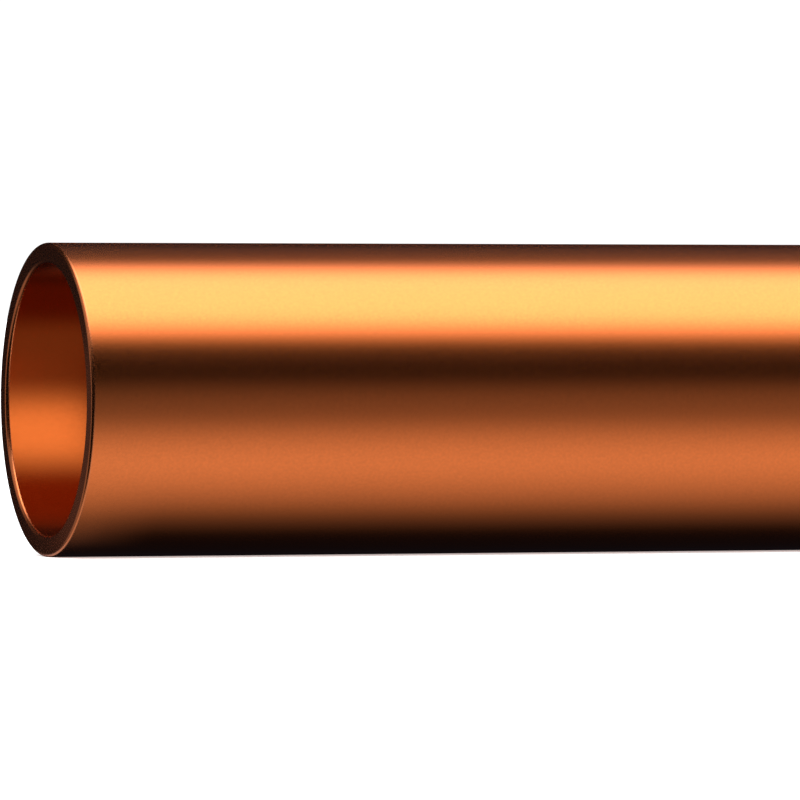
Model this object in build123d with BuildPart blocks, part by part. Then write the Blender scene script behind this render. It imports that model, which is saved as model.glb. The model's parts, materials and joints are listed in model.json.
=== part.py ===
from build123d import *
import os

# A straight length of copper water pipe, lying along X.
# It is one drawn tube: a round shell of even wall, sawn square at both ends,
# with the burr taken off the outer corner and the mouth corner of each cut.
# The origin is the centre of the near cut, X runs down the bore to the far cut, and Z is up.

# Driving sizes, in millimetres
outside_diameter = 15.0
wall_thickness = 1.0
pipe_length = 1000.0
outer_deburr = 0.12
mouth_deburr = 0.12

# Radii that follow from them
outside_radius = outside_diameter / 2
bore_radius = outside_radius - wall_thickness

os.makedirs("parts", exist_ok=True)

with BuildPart() as copper_tube:
    # The wall's ring, square to the axis at the near cut, is drawn out to the full length
    with BuildSketch(Plane.YZ) as wall_ring:
        Circle(outside_radius)
        Circle(bore_radius, mode=Mode.SUBTRACT)
    extrude(amount=pipe_length)

    # Both cuts have a corner on the bore and one on the outside: the smaller circles are the mouths
    corners_by_radius = copper_tube.edges().filter_by(GeomType.CIRCLE).group_by(SortBy.RADIUS)
    mouth_corners = corners_by_radius[0]
    outer_corners = corners_by_radius[-1]
    chamfer(mouth_corners, length=mouth_deburr)
    chamfer(outer_corners, length=outer_deburr)

copper_tube.part.label = "copper_tube"
export_step(copper_tube.part, "parts/copper_tube.step")
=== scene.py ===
"""Looks of the copper pipe length: one drawn tube, its deburred cuts, and the studio around it.

The pipe lies along X with its near cut at the origin. All lengths are in metres unless a name says otherwise.
"""

import json
import logging
import math
from dataclasses import dataclass, replace
from enum import Enum

import bmesh
import bpy
from mathutils import Matrix, Vector


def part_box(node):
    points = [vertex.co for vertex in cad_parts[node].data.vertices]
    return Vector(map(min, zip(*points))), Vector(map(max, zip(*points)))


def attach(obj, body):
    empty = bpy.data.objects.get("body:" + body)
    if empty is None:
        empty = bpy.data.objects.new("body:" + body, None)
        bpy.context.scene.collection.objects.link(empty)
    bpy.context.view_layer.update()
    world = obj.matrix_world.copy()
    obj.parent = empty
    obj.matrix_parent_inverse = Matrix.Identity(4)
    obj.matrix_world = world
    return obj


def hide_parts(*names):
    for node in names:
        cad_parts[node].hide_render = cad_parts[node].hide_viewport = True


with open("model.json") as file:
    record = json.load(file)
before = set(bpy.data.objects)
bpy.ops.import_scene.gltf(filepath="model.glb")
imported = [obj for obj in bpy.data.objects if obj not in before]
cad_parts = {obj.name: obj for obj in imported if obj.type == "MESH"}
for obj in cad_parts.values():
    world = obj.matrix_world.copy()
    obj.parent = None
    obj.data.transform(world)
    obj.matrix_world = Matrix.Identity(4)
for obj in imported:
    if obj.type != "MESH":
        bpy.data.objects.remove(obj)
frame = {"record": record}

log = logging.getLogger("copper_pipe")

MM = 0.001
NODE = "copper_tube"

# Nearly all of a noise texture's values lie between these two
NOISE_LOW, NOISE_HIGH = 0.25, 0.75

# Distances from the axis of the small panels: 1.5 mm off the pipe's outside, and just inside the bore's wall
AROUND_CUT = 9.0 * MM
INSIDE_MOUTH = 6.2 * MM


def hex_to_linear(hex_colour: str) -> tuple[float, float, float, float]:
    """Turns an sRGB hex colour into the linear RGBA that a shader works in.

    Args:
        hex_colour: Six hex digits, with or without a leading hash.

    Returns:
        Linear red, green, blue, and an alpha of 1.
    """
    digits = hex_colour.lstrip("#")
    channels = [int(digits[i:i + 2], 16) / 255 for i in (0, 2, 4)]
    linear = [c / 12.92 if c <= 0.04045 else ((c + 0.055) / 1.055) ** 2.4 for c in channels]
    return (*linear, 1.0)


def add_node(
    tree: bpy.types.NodeTree,
    kind: str,
    settings: dict[str, object] | None = None,
    inputs: dict[str | int, object] | None = None,
) -> bpy.types.Node:
    """Adds one node, with its settings, and its sockets' values or links.

    Args:
        tree: The node tree that the node goes into.
        kind: The node's type name, as bpy writes it.
        settings: Attributes to set on the node.
        inputs: For each input, by name or number, a value or an output socket to link from.

    Returns:
        The new node.
    """
    node = tree.nodes.new(kind)
    for name, value in (settings or {}).items():
        setattr(node, name, value)
    for key, value in (inputs or {}).items():
        if isinstance(value, bpy.types.NodeSocket):
            tree.links.new(value, node.inputs[key])
        else:
            node.inputs[key].default_value = value
    return node


class Zone(Enum):
    """The three surfaces of the tube, each with a finish of its own."""

    OUTSIDE = 0
    BORE = 1
    CUT = 2


@dataclass(frozen=True)
class CopperFinish:
    """Bare copper, as drawn or as cut: a metal with no coating, so its colour is all in its reflection.

    Attributes:
        name: The material's name.
        colour: The metal's own sRGB colour at normal view.
        dulled: The sRGB colour where its oxide film is a little thicker.
        roughness: The mean micro roughness.
        roughness_spread: How far the roughness varies either way.
        grain_mm: Size of the fine surface grain.
        grain_stretch: How much longer than wide a grain is along the drawing direction.
        grain_relief_mm: Height of the grain.
        film_mm: Size of the patches of thicker oxide film.
        speckle: Share of the colour's change that goes with the fine grain, and not with the patches.
    """

    name: str
    colour: str
    dulled: str
    roughness: float
    roughness_spread: float
    grain_mm: float
    grain_stretch: float
    grain_relief_mm: float
    film_mm: float
    speckle: float

    def material(self) -> bpy.types.Material:
        """Builds the finish as a node material.

        Returns:
            The new material.
        """
        material = bpy.data.materials.new(self.name)
        material.use_nodes = True
        tree = material.node_tree
        tree.nodes.clear()

        place = add_node(tree, "ShaderNodeTexCoord").outputs["Object"]
        along = add_node(
            tree, "ShaderNodeMapping", {"vector_type": "POINT"},
            {"Vector": place, "Scale": (1 / self.grain_stretch, 1.0, 1.0)},
        ).outputs["Vector"]
        grain = add_node(
            tree, "ShaderNodeTexNoise", {"noise_dimensions": "3D"},
            {"Vector": along, "Scale": 1 / (self.grain_mm * MM), "Detail": 2.0, "Roughness": 0.5},
        ).outputs["Fac"]
        film = add_node(
            tree, "ShaderNodeTexNoise", {"noise_dimensions": "3D"},
            {"Vector": along, "Scale": 1 / (self.film_mm * MM), "Detail": 3.0, "Roughness": 0.6},
        ).outputs["Fac"]

        grain_dulling = add_node(
            tree, "ShaderNodeMapRange", None,
            {
                "Value": grain, "From Min": NOISE_LOW, "From Max": NOISE_HIGH,
                "To Min": 0.0, "To Max": self.speckle,
            },
        ).outputs["Result"]
        dulling = add_node(
            tree, "ShaderNodeMath", {"operation": "MULTIPLY_ADD"},
            {0: film, 1: 1 - self.speckle, 2: grain_dulling},
        ).outputs["Value"]
        tint = add_node(
            tree, "ShaderNodeMix", {"data_type": "RGBA"},
            {"Factor": dulling, "A": hex_to_linear(self.colour), "B": hex_to_linear(self.dulled)},
        )
        roughness = add_node(
            tree, "ShaderNodeMapRange", None,
            {
                "Value": grain, "From Min": NOISE_LOW, "From Max": NOISE_HIGH,
                "To Min": self.roughness - self.roughness_spread,
                "To Max": self.roughness + self.roughness_spread,
            },
        ).outputs["Result"]
        relief = add_node(
            tree, "ShaderNodeBump", None,
            {"Height": grain, "Strength": 1.0, "Distance": self.grain_relief_mm * MM},
        ).outputs["Normal"]
        metal = add_node(
            tree, "ShaderNodeBsdfPrincipled", None,
            {"Base Color": tint.outputs["Result"], "Metallic": 1.0, "Roughness": roughness, "Normal": relief},
        ).outputs["BSDF"]
        add_node(tree, "ShaderNodeOutputMaterial", None, {"Surface": metal})
        return material


# Copper drawn through a polished die: the eye sees a warm satin sheen with soft long bands of light, and over
# them a fine even grain and a faint speckle. Both are drawn about twice as coarse as the real ones, to show.
DRAWN_COPPER = CopperFinish(
    name="drawn_copper", colour="#F38145", dulled="#E57941",
    roughness=0.235, roughness_spread=0.02,
    grain_mm=0.12, grain_stretch=1.2, grain_relief_mm=0.0006, film_mm=9.0, speckle=0.7,
)

# The bore was drawn over a polished plug: smoother. Its deeper and redder copper is painted shade, with the
# painted red of light that the bore passes from wall to wall.
PLUG_DRAWN_COPPER_PAINTED_SHADE = CopperFinish(
    name="plug_drawn_copper_painted_shade", colour="#E87534", dulled="#E27030",
    roughness=0.19, roughness_spread=0.02,
    grain_mm=0.15, grain_stretch=2.0, grain_relief_mm=0.0005, film_mm=6.0, speckle=0.3,
)

# The cut is fresh metal from a fine-toothed saw: bare copper, brushed square across and a little rougher.
SAWN_COPPER = CopperFinish(
    name="sawn_copper", colour="#EE8A58", dulled="#E47C48",
    roughness=0.26, roughness_spread=0.03,
    grain_mm=0.08, grain_stretch=1.0, grain_relief_mm=0.0006, film_mm=1.5, speckle=0.3,
)


@dataclass(frozen=True)
class SectionPoint:
    """A point on the outline of the wall's section.

    Attributes:
        x: Its place along the pipe.
        radius: Its distance from the axis.
        facing: Angle of the surface's normal there: 0 is along +X, a quarter turn is straight out from the axis.
    """

    x: float
    radius: float
    facing: float


@dataclass(frozen=True)
class CopperTube:
    """The whole object: one drawn tube, cut square at both ends with its corners rounded.

    Attributes:
        outside_radius: Radius of the outside.
        bore_radius: Radius of the bore.
        start: X of the near cut.
        end: X of the far cut.
        outer_corner: Radius of the rounding on the outer corner of a cut.
        mouth_corner: Radius of the rounding on the corner between a cut and the bore.
        corner_steps: Facets that a corner's rounding is made of.
        around: Facets around the axis.
        bays: Stretches that the length of the outside, and of the bore, is divided into.
    """

    outside_radius: float
    bore_radius: float
    start: float
    end: float
    outer_corner: float = 0.17 * MM
    mouth_corner: float = 0.19 * MM
    corner_steps: int = 12
    around: int = 256
    bays: int = 40

    @classmethod
    def from_frame(cls) -> "CopperTube":
        """Reads the radii from the record's mounts and the two cuts from the node's box.

        Returns:
            The tube at its packed size.
        """
        radius = {m["name"]: m["dims"]["r_mm"] * MM for m in frame["record"]["mounts"] if "r_mm" in m["dims"]}
        low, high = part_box(NODE)
        return cls(
            outside_radius=radius["near_end"], bore_radius=radius["near_bore"],
            start=low[0], end=high[0],
        )

    def rounded_corner(self, x: float, radius: float, corner: float, first: float) -> list[SectionPoint]:
        """The quarter arc that rounds one corner of the section.

        Args:
            x: Place of the arc's centre along the pipe.
            radius: Distance of the arc's centre from the axis.
            corner: Radius of the arc itself.
            first: Facing of its first point, a quarter turn more than that of its last.

        Returns:
            The arc's points.
        """
        facings = [first - math.tau / 4 * step / self.corner_steps for step in range(self.corner_steps + 1)]
        return [
            SectionPoint(x + corner * math.cos(facing), radius + corner * math.sin(facing), facing)
            for facing in facings
        ]

    def section(self) -> list[tuple[SectionPoint, Zone]]:
        """The wall's closed outline, with the zone of the strip that follows each point.

        Returns:
            The outline's points in order: outside, far cut, bore, near cut, each led by its rounded corner.
        """
        outer, mouth = self.outer_corner, self.mouth_corner
        corners = [
            (self.start + outer, self.outside_radius - outer, outer),
            (self.end - outer, self.outside_radius - outer, outer),
            (self.end - mouth, self.bore_radius + mouth, mouth),
            (self.start + mouth, self.bore_radius + mouth, mouth),
        ]
        walls = [(Zone.OUTSIDE, self.bays), (Zone.CUT, 1), (Zone.BORE, self.bays), (Zone.CUT, 1)]
        outline: list[tuple[SectionPoint, Zone]] = []
        for number, ((x, radius, corner), (zone, bays)) in enumerate(zip(corners, walls)):
            arc = self.rounded_corner(x, radius, corner, math.tau / 4 * (2 - number))
            outline += [(point, Zone.CUT) for point in arc[:-1]]
            wall_start = arc[-1]
            bay_length = (corners[(number + 1) % len(corners)][0] - x) / bays
            outline += [
                (SectionPoint(wall_start.x + bay_length * bay, wall_start.radius, wall_start.facing), zone)
                for bay in range(bays)
            ]
        return outline

    def mesh(self) -> bpy.types.Mesh:
        """Turns the section about the pipe's axis into one closed mesh, with the section's own normals.

        Returns:
            The tube's mesh, with a material index for each zone.
        """
        outline = self.section()
        turns = [math.tau * i / self.around for i in range(self.around)]
        places, normals, faces, zones = [], [], [], []
        for point, _ in outline:
            along, outward = math.cos(point.facing), math.sin(point.facing)
            for turn in turns:
                places.append((point.x, point.radius * math.cos(turn), point.radius * math.sin(turn)))
                normals.append((along, outward * math.cos(turn), outward * math.sin(turn)))
        for ring, (_, zone) in enumerate(outline):
            here, after = ring * self.around, (ring + 1) % len(outline) * self.around
            for i in range(self.around):
                j = (i + 1) % self.around
                faces.append((here + i, here + j, after + j, after + i))
                zones.append(zone.value)
        mesh = bpy.data.meshes.new(f"{NODE}_mesh")
        mesh.from_pydata(places, [], faces)
        mesh.polygons.foreach_set("material_index", zones)
        mesh.polygons.foreach_set("use_smooth", [True] * len(faces))
        mesh.normals_split_custom_set_from_vertices(normals)
        mesh.update()
        return mesh

    def build(self) -> bpy.types.Object:
        """Makes the tube, dresses its three zones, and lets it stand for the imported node.

        Returns:
            The finished piece.
        """
        mesh = self.mesh()
        finishes = {Zone.OUTSIDE: DRAWN_COPPER, Zone.BORE: PLUG_DRAWN_COPPER_PAINTED_SHADE, Zone.CUT: SAWN_COPPER}
        for zone in Zone:
            mesh.materials.append(finishes[zone].material())
        piece = bpy.data.objects.new("drawn_tube", mesh)
        bpy.context.scene.collection.objects.link(piece)
        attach(piece, "root")
        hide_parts(NODE)
        return piece


class SeenAfter(Enum):
    """How many reflections lie between a panel and the eye that sees it."""

    ANY = 0
    ONE = 1
    TWO = 2


@dataclass(frozen=True)
class ArchedPanel:
    """A glowing cloth bent round the pipe's axis, which the metal reflects as a band of light along it.

    Angles are about the pipe's axis: 0 is level towards the camera's side, 90 is straight up.
    Only reflections see it. It is see-through, so the light of panels that overlap adds up.

    Attributes:
        name: The panel's name.
        middle_deg: Angle of the panel's middle.
        half_deg: Angle from its middle to where its light is down to half.
        feather_deg: Angle over which its long edges fade, either way from the half level.
        strength: Its brightness in the middle.
        colour: sRGB colour of its light.
        x_from: X of its near end.
        x_to: X of its far end.
        end_fade: Share of its length over which each end fades out, up to a half.
        radius: Its distance from the pipe's axis.
        seen_after: Reflections after which it is seen.
        slices: Flat strips that the bend is made of.
    """

    name: str
    middle_deg: float
    half_deg: float
    feather_deg: float
    strength: float
    colour: str = "#FFFFFF"
    x_from: float = -4.0
    x_to: float = 4.0
    end_fade: float = 0.1
    radius: float = 1.0
    seen_after: SeenAfter = SeenAfter.ANY
    slices: int = 48

    @property
    def spread_deg(self) -> float:
        """Angle from the panel's middle to where its light ends."""
        return self.half_deg + self.feather_deg

    def mesh(self) -> bpy.types.Mesh:
        """The panel's bent sheet, with U along it and V across it, each from 0 to 1.

        Returns:
            The panel's mesh.
        """
        build = bmesh.new()
        uv_layer = build.loops.layers.uv.new("sheet")
        rows = []
        for i in range(self.slices + 1):
            v = i / self.slices
            turn = math.radians(self.middle_deg - self.spread_deg + 2 * self.spread_deg * v)
            y, z = -self.radius * math.cos(turn), self.radius * math.sin(turn)
            rows.append((build.verts.new((self.x_from, y, z)), build.verts.new((self.x_to, y, z)), v))
        for (a, b, low), (c, d, high) in zip(rows, rows[1:]):
            face = build.faces.new((a, b, d, c))
            for loop, uv in zip(face.loops, ((0, low), (1, low), (1, high), (0, high))):
                loop[uv_layer].uv = uv
        mesh = bpy.data.meshes.new(self.name)
        build.to_mesh(mesh)
        build.free()
        return mesh

    def fade(self, tree: bpy.types.NodeTree, place: bpy.types.NodeSocket, full: float) -> bpy.types.NodeSocket:
        """Fades the light smoothly towards the two edges that one coordinate of the sheet ends at.

        Args:
            tree: The material's node tree.
            place: The coordinate, from 0 to 1.
            full: How far from the middle the light is still whole, where 0.5 is the edge.

        Returns:
            The share of light that is left, 1 in the middle and 0 at the edges.
        """
        from_middle = add_node(tree, "ShaderNodeMath", {"operation": "SUBTRACT"}, {0: place, 1: 0.5})
        distance = add_node(
            tree, "ShaderNodeMath", {"operation": "ABSOLUTE"}, {0: from_middle.outputs["Value"]},
        )
        return add_node(
            tree, "ShaderNodeMapRange", {"interpolation_type": "SMOOTHSTEP"},
            {
                "Value": distance.outputs["Value"], "From Min": full, "From Max": 0.5,
                "To Min": 1.0, "To Max": 0.0,
            },
        ).outputs["Result"]

    def material(self) -> bpy.types.Material:
        """The glowing cloth, brightest in the middle and soft at its edges.

        Returns:
            The new material.
        """
        material = bpy.data.materials.new(self.name)
        material.use_nodes = True
        tree = material.node_tree
        tree.nodes.clear()
        uv = add_node(tree, "ShaderNodeTexCoord").outputs["UV"]
        sheet = add_node(tree, "ShaderNodeSeparateXYZ", None, {"Vector": uv}).outputs
        along = self.fade(tree, sheet["X"], 0.5 - self.end_fade)
        across = self.fade(tree, sheet["Y"], 0.5 * (self.half_deg - self.feather_deg) / self.spread_deg)
        share = add_node(
            tree, "ShaderNodeMath", {"operation": "MULTIPLY"}, {0: along, 1: across},
        ).outputs["Value"]
        light = add_node(
            tree, "ShaderNodeMath", {"operation": "MULTIPLY"}, {0: share, 1: self.strength},
        ).outputs["Value"]
        if self.seen_after is not SeenAfter.ANY:
            reflections = add_node(tree, "ShaderNodeLightPath").outputs["Ray Depth"]
            seen = add_node(
                tree, "ShaderNodeMath", {"operation": "COMPARE"},
                {0: reflections, 1: float(self.seen_after.value), 2: 0.5},
            ).outputs["Value"]
            light = add_node(
                tree, "ShaderNodeMath", {"operation": "MULTIPLY"}, {0: light, 1: seen},
            ).outputs["Value"]
        glow = add_node(
            tree, "ShaderNodeEmission", None, {"Color": hex_to_linear(self.colour), "Strength": light},
        )
        clear = add_node(tree, "ShaderNodeBsdfTransparent")
        cloth = add_node(
            tree, "ShaderNodeAddShader", None, {0: glow.outputs["Emission"], 1: clear.outputs["BSDF"]},
        )
        add_node(tree, "ShaderNodeOutputMaterial", None, {"Surface": cloth.outputs["Shader"]})
        return material

    def build(self) -> bpy.types.Object:
        """Hangs the panel round the pipe, seen only in reflections.

        Returns:
            The panel's object.
        """
        mesh = self.mesh()
        mesh.materials.append(self.material())
        panel = bpy.data.objects.new(self.name, mesh)
        bpy.context.scene.collection.objects.link(panel)
        panel.visible_camera = False
        panel.visible_diffuse = False
        panel.visible_transmission = False
        panel.visible_volume_scatter = False
        panel.visible_shadow = False
        return panel

    def at_far_cut(self, length: float) -> "ArchedPanel":
        """The same panel, turned end for end to stand at the far cut as this one stands at the near one.

        Args:
            length: Length of the pipe.

        Returns:
            The turned panel.
        """
        return replace(self, name=f"far_{self.name}", x_from=length - self.x_to, x_to=length - self.x_from)


# The long panels give the bands along the outside of the pipe
LONG_PANELS = (
    ArchedPanel("overhead_softbox", middle_deg=81.9, half_deg=28.5, feather_deg=15, strength=3.2, x_from=-0.65),
    ArchedPanel("softbox_spill", middle_deg=132, half_deg=16, feather_deg=16, strength=0.09, x_from=0.0),
    ArchedPanel("level_card", middle_deg=2, half_deg=9, feather_deg=8, strength=0.17, x_from=0.0),
    ArchedPanel("front_bounce_card", middle_deg=-47, half_deg=27, feather_deg=27, strength=0.82, x_from=-0.5),
    ArchedPanel("floor_bounce", middle_deg=-88, half_deg=16, feather_deg=16, strength=0.15, x_from=0.0),
    ArchedPanel("back_bounce_card", middle_deg=222, half_deg=28, feather_deg=27, strength=0.6, x_from=0.7),
)

# The panels beyond the near cut and around it light its face, its rounded corners and the pipe's edge
END_PANELS = (
    ArchedPanel(
        "softbox_tail", middle_deg=84, half_deg=31, feather_deg=16, strength=0.55, x_from=-2.6, x_to=-0.3,
    ),
    ArchedPanel(
        "rear_end_card", middle_deg=150, half_deg=40, feather_deg=20, strength=0.37, x_from=-2.8, x_to=-0.7,
    ),
    ArchedPanel(
        "low_end_card", middle_deg=228, half_deg=32, feather_deg=18, strength=0.29, x_from=-2.8, x_to=-0.4,
    ),
    # The lit floor right before the cut, close enough to show only in the cut's lower corner
    ArchedPanel(
        "floor_glint", middle_deg=-76, half_deg=36, feather_deg=14, strength=0.55,
        x_from=-1.5 * MM, x_to=0.15 * MM, end_fade=0.15, radius=AROUND_CUT,
    ),
    # The same lit floor beside the cut, a short and a longer reach of it, so that the pipe's lower side
    # is brightest at the cut and darkens over a few millimetres
    ArchedPanel(
        "floor_beside_cut", middle_deg=-60, half_deg=17, feather_deg=14, strength=0.075,
        x_from=-1.0 * MM, x_to=2.6 * MM, end_fade=0.5, radius=AROUND_CUT,
    ),
    ArchedPanel(
        "floor_behind_cut", middle_deg=-60, half_deg=17, feather_deg=14, strength=0.055,
        x_from=-1.6 * MM, x_to=5.2 * MM, end_fade=0.5, radius=AROUND_CUT,
    ),
    # Warm light on the half of the cut's face that is nearer the camera, and none on the other half
    ArchedPanel(
        "cut_fill", middle_deg=205, half_deg=42, feather_deg=20, strength=0.075, colour="#FFD9C0",
        x_from=-7.0 * MM, x_to=-2.5 * MM, end_fade=0.2, radius=AROUND_CUT,
    ),
)

# Small lamps that lie in each mouth light the bore from inside. Left alone, the bore would pass their light
# on and on, redder each time, so each is seen after one reflection only, or after two only. The first two
# give the warm spot and the brown above it, the other two the deeper red below it and at the top
MOUTH_LAMPS = (
    ArchedPanel(
        "mouth_lamp", middle_deg=42, half_deg=42, feather_deg=33, strength=1.12, seen_after=SeenAfter.ONE,
        x_from=1.8 * MM, x_to=8.9 * MM, end_fade=0.2, radius=INSIDE_MOUTH,
    ),
    ArchedPanel(
        "mouth_fill", middle_deg=-62, half_deg=42, feather_deg=20, strength=0.105, seen_after=SeenAfter.ONE,
        x_from=1.8 * MM, x_to=8.9 * MM, end_fade=0.2, radius=INSIDE_MOUTH,
    ),
    ArchedPanel(
        "deep_ring", middle_deg=0, half_deg=170, feather_deg=10, strength=0.05, seen_after=SeenAfter.TWO,
        x_from=0.3 * MM, x_to=20.0 * MM, end_fade=0.1, radius=INSIDE_MOUTH,
    ),
    ArchedPanel(
        "deep_lamp", middle_deg=126, half_deg=32, feather_deg=20, strength=0.15, seen_after=SeenAfter.TWO,
        x_from=2.0 * MM, x_to=8.5 * MM, end_fade=0.15, radius=INSIDE_MOUTH,
    ),
)


@dataclass(frozen=True)
class Studio:
    """A pale floor and backdrop under a soft key light, with arched panels that the metal reflects.

    Attributes:
        floor_z: Height of the floor.
        pipe_length: Length of the pipe, from the near cut at the origin to the far one.
        floor_size: Length of the floor's sides.
        floor_colour: sRGB colour of the floor.
        floor_glow: Light that the floor gives of itself, as a lit table does.
        sky_strength: Brightness of the white all round, which the camera sees and which lights the floor.
        room_colour: sRGB colour of what the metal reflects between the panels.
        room_strength: Brightness of that.
        key_strength: Strength of the key light, which lights the floor and which no metal mirrors.
        key_azimuth_deg: Side that the key light comes from: 0 is the front, negative is towards the near cut.
        key_elevation_deg: Its height above the level.
        key_spread_deg: Angle that it seems wide, which softens the shadow behind the pipe.
    """

    floor_z: float
    pipe_length: float
    floor_size: float = 80.0
    floor_colour: str = "#F0F0F0"
    floor_glow: float = 0.45
    sky_strength: float = 1.1
    room_colour: str = "#C2D6FF"
    room_strength: float = 0.01
    key_strength: float = 3.5
    key_azimuth_deg: float = -37.0
    key_elevation_deg: float = 40.0
    key_spread_deg: float = 35.0

    def floor(self) -> bpy.types.Object:
        """The pale floor: a matt sheet lit from below too, which the metal's reflections leave out.

        Returns:
            The floor's object.
        """
        half = self.floor_size / 2
        corners = [(-half, -half), (half, -half), (half, half), (-half, half)]
        mesh = bpy.data.meshes.new("floor")
        mesh.from_pydata([(x, y, self.floor_z) for x, y in corners], [], [(0, 1, 2, 3)])
        material = bpy.data.materials.new("matt_acrylic")
        material.use_nodes = True
        tree = material.node_tree
        tree.nodes.clear()
        matt = add_node(
            tree, "ShaderNodeBsdfDiffuse", None, {"Color": hex_to_linear(self.floor_colour)},
        ).outputs["BSDF"]
        glow = add_node(
            tree, "ShaderNodeEmission", None,
            {"Color": hex_to_linear(self.floor_colour), "Strength": self.floor_glow},
        ).outputs["Emission"]
        sheet = add_node(tree, "ShaderNodeAddShader", None, {0: matt, 1: glow}).outputs["Shader"]
        add_node(tree, "ShaderNodeOutputMaterial", None, {"Surface": sheet})
        mesh.materials.append(material)
        floor = bpy.data.objects.new("floor", mesh)
        bpy.context.scene.collection.objects.link(floor)
        floor.visible_glossy = False
        return floor

    def surroundings(self) -> bpy.types.World:
        """The white that the camera and the floor see, and the dim room that the metal sees in its place.

        Returns:
            The scene's world.
        """
        world = bpy.data.worlds.new("white_cove")
        world.use_nodes = True
        tree = world.node_tree
        tree.nodes.clear()
        white = add_node(
            tree, "ShaderNodeBackground", None,
            {"Color": hex_to_linear("#FFFFFF"), "Strength": self.sky_strength},
        )
        room = add_node(
            tree, "ShaderNodeBackground", None,
            {"Color": hex_to_linear(self.room_colour), "Strength": self.room_strength},
        )
        reflected = add_node(tree, "ShaderNodeLightPath").outputs["Is Glossy Ray"]
        seen = add_node(
            tree, "ShaderNodeMixShader", None,
            {0: reflected, 1: white.outputs["Background"], 2: room.outputs["Background"]},
        )
        add_node(tree, "ShaderNodeOutputWorld", None, {"Surface": seen.outputs["Shader"]})
        bpy.context.scene.world = world
        return world

    def key_light(self) -> bpy.types.Object:
        """The soft light that whitens the floor, from the front so that the pipe hides its own shadow.

        Returns:
            The light's object.
        """
        azimuth, elevation = math.radians(self.key_azimuth_deg), math.radians(self.key_elevation_deg)
        towards = Vector((
            math.sin(azimuth) * math.cos(elevation),
            -math.cos(azimuth) * math.cos(elevation),
            math.sin(elevation),
        ))
        data = bpy.data.lights.new("key_light", "SUN")
        data.energy = self.key_strength
        data.angle = math.radians(self.key_spread_deg)
        light = bpy.data.objects.new("key_light", data)
        light.rotation_euler = towards.to_track_quat("Z", "Y").to_euler()
        light.visible_glossy = False
        bpy.context.scene.collection.objects.link(light)
        return light

    def build(self) -> int:
        """Sets up the floor, the surroundings, the lights, and plain tones that clip as a photograph's do.

        Returns:
            How many panels hang round the pipe.
        """
        self.floor()
        self.surroundings()
        self.key_light()
        far_lamps = tuple(lamp.at_far_cut(self.pipe_length) for lamp in MOUTH_LAMPS)
        panels = LONG_PANELS + END_PANELS + MOUTH_LAMPS + far_lamps
        for panel in panels:
            panel.build()
        bpy.context.scene.view_settings.view_transform = "Standard"
        return len(panels)


@dataclass(frozen=True)
class PhotoCamera:
    """The camera of the photograph, a long lens close to the near cut.

    Attributes:
        lens_mm: Focal length on a sensor 36 mm wide.
        azimuth_deg: Turn of the view from the +Y direction.
        elevation_deg: How far the camera looks down.
        frame_px: Side of the square frame.
        near_cut_px: Where the near cut's centre falls in the frame.
        diameter_px: The pipe's diameter in the frame, at the near cut.
        sensor_mm: Width of the sensor.
    """

    lens_mm: float = 387.0
    azimuth_deg: float = -19.4
    elevation_deg: float = 0.545
    frame_px: float = 800.0
    near_cut_px: tuple[float, float] = (45.2, 399.9)
    diameter_px: float = 314.8
    sensor_mm: float = 36.0

    def build(self, tube: CopperTube) -> bpy.types.Object:
        """Places the camera so that the tube's near cut has its place and size in the frame.

        Args:
            tube: The tube that the camera looks at.

        Returns:
            The camera's object, set as the scene's camera.
        """
        azimuth, elevation = math.radians(self.azimuth_deg), math.radians(self.elevation_deg)
        forward = Vector((
            -math.sin(azimuth) * math.cos(elevation),
            math.cos(azimuth) * math.cos(elevation),
            -math.sin(elevation),
        ))
        right = Vector((math.cos(azimuth), math.sin(azimuth), 0.0))
        up = right.cross(forward)
        focal_px = self.lens_mm / self.sensor_mm * self.frame_px
        depth = focal_px * 2 * tube.outside_radius / self.diameter_px
        across = (self.near_cut_px[0] - self.frame_px / 2) / focal_px * depth
        below = (self.near_cut_px[1] - self.frame_px / 2) / focal_px * depth
        near_cut = Vector((tube.start, 0.0, 0.0))
        location = near_cut - forward * depth - right * across + up * below

        data = bpy.data.cameras.new("photo_camera")
        data.lens = self.lens_mm
        data.sensor_width = self.sensor_mm
        data.clip_start = 0.01
        data.clip_end = 100.0
        camera = bpy.data.objects.new("photo_camera", data)
        turn = Matrix((right, up, -forward)).transposed().to_4x4()
        camera.matrix_world = Matrix.Translation(location) @ turn
        bpy.context.scene.collection.objects.link(camera)
        bpy.context.scene.camera = camera
        return camera


def main() -> None:
    """Builds the tube, the studio and the camera."""
    logging.basicConfig(level=logging.INFO, format="%(name)s: %(message)s")
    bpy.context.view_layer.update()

    tube = CopperTube.from_frame()
    piece = tube.build()
    log.info("%s: %d faces, stands for %s", piece.name, len(piece.data.polygons), NODE)

    studio = Studio(floor_z=-tube.outside_radius, pipe_length=tube.end - tube.start)
    panels = studio.build()
    log.info("studio: floor at %.4f m, %d panels", studio.floor_z, panels)

    camera = PhotoCamera().build(tube)
    log.info("camera at %s", tuple(round(c, 4) for c in camera.location))


if __name__ == "__main__":
    main()
